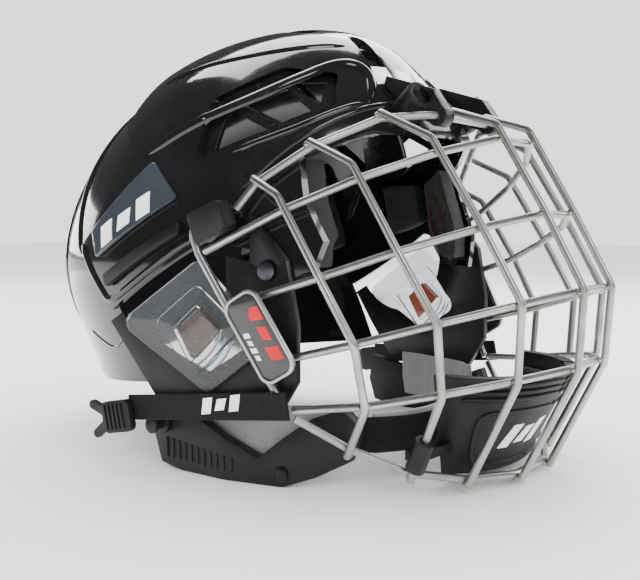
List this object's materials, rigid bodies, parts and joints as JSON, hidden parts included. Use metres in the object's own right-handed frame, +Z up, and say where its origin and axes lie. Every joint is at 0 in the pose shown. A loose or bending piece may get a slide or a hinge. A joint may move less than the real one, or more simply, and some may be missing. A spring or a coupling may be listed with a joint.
{
  "type": "hockey helmet cage",
  "caption": "Junior ice hockey helmet with a hinged full-face wire cage, chin cup, clear ear covers, size latches and cage straps.",
  "frame": {"origin": "on the floor under the middle of the whole helmet with its cage closed", "axes": "+X towards the wearer's left, -Y out through the face, +Z up"},
  "size_m": [0.2042, 0.2926, 0.1987],
  "materials": {
    "gloss_black_shell": "high gloss moulded black",
    "smoke_panel": "gloss smoke grey",
    "black_moulding": "fine moulded texture",
    "black_foam": "ribbed soft foam",
    "clear_cover": "clear polycarbonate",
    "amber_insert": "translucent amber",
    "grey_lining": "brushed grey textile",
    "screw_steel": "blackened steel screws and nuts",
    "black_webbing": "woven nylon webbing",
    "cage_steel": "satin silver coated wire",
    "badge_face": "dark grey printed plate",
    "black_rubber": "moulded rubber"
  },
  "bodies": {
    "helmet": {"front_shell": "gloss_black_shell", "vent_grilles": "black_moulding", "adjuster_panel_left": "smoke_panel", "adjuster_panel_right": "smoke_panel", "forehead_pad": "black_foam", "crown_pad": "black_foam", "temple_pads": "black_foam", "side_pads": "black_foam", "ear_cover_left": "clear_cover", "ear_cover_right": "clear_cover", "ear_inserts": "amber_insert", "ear_frame_left": "black_moulding", "ear_frame_right": "black_moulding", "jaw_frame_left": "black_moulding", "jaw_frame_right": "black_moulding", "jaw_linings": "grey_lining", "forehead_clip_left": "black_moulding", "forehead_clip_right": "black_moulding", "shell_screws": "screw_steel", "shell_nuts": "screw_steel", "strap_studs": "black_moulding", "chin_strap_left": "black_webbing", "chin_strap_right": "black_webbing", "chin_strap_lining": "grey_lining", "buckle_socket": "black_moulding", "buckle_tongue": "black_moulding"},
    "rear_shell": {"rear_shell": "gloss_black_shell", "rear_side_pads": "black_foam", "nape_pad": "black_foam"},
    "cage": {"rim_wire": "cage_steel", "brow_bar": "cage_steel", "eye_bar": "cage_steel", "mouth_bar": "cage_steel", "chin_bar": "cage_steel", "bottom_rim": "cage_steel", "side_wire_left": "cage_steel", "side_wire_right": "cage_steel", "upright_1_left": "cage_steel", "upright_1_right": "cage_steel", "upright_2_left": "cage_steel", "upright_2_right": "cage_steel", "upright_3_left": "cage_steel", "upright_3_right": "cage_steel", "upright_4_left": "cage_steel", "upright_4_right": "cage_steel", "side_bumper_left": "black_rubber", "side_bumper_right": "black_rubber", "badge_plate_left": "badge_face", "badge_plate_right": "badge_face", "badge_rims": "cage_steel", "chin_cup": "black_rubber", "chin_cup_liner": "black_foam", "cup_clip_left": "black_moulding", "cup_clip_right": "black_moulding"},
    "latch_right": {"size_latch_right": "black_moulding"},
    "latch_left": {"size_latch_left": "black_moulding"},
    "strap_right": {"cage_strap_right": "black_webbing", "strap_tab_right": "black_rubber"},
    "strap_left": {"cage_strap_left": "black_webbing", "strap_tab_left": "black_rubber"}
  },
  "joints": [
    {"name": "cage_lift", "type": "hinge", "parent": "helmet", "child": "cage", "pos_m": [0, -0.08502, 0.1515], "axis": [-1, 0, 0], "range_deg": [0, 100]},
    {"name": "size_slide", "type": "slide", "parent": "helmet", "child": "rear_shell", "axis": [0, -1, 0], "range_m": [0, 0.008]},
    {"name": "latch_right_release", "type": "hinge", "parent": "helmet", "child": "latch_right", "pos_m": [-0.09247, -0.00302, 0.1057], "axis": [0, 0.4699, 0.8827], "range_deg": [0, 35]},
    {"name": "latch_left_release", "type": "hinge", "parent": "helmet", "child": "latch_left", "pos_m": [0.09247, -0.00302, 0.1057], "axis": [0, -0.4699, -0.8827], "range_deg": [0, 35]},
    {"name": "strap_right_swing", "type": "hinge", "parent": "cage", "child": "strap_right", "pos_m": [-0.0886, -0.05672, 0.0405], "axis": [0, 0, 1], "range_deg": [0, 60]},
    {"name": "strap_left_swing", "type": "hinge", "parent": "cage", "child": "strap_left", "pos_m": [0.0886, -0.05672, 0.0405], "axis": [0, 0, -1], "range_deg": [0, 60]}
  ]
}
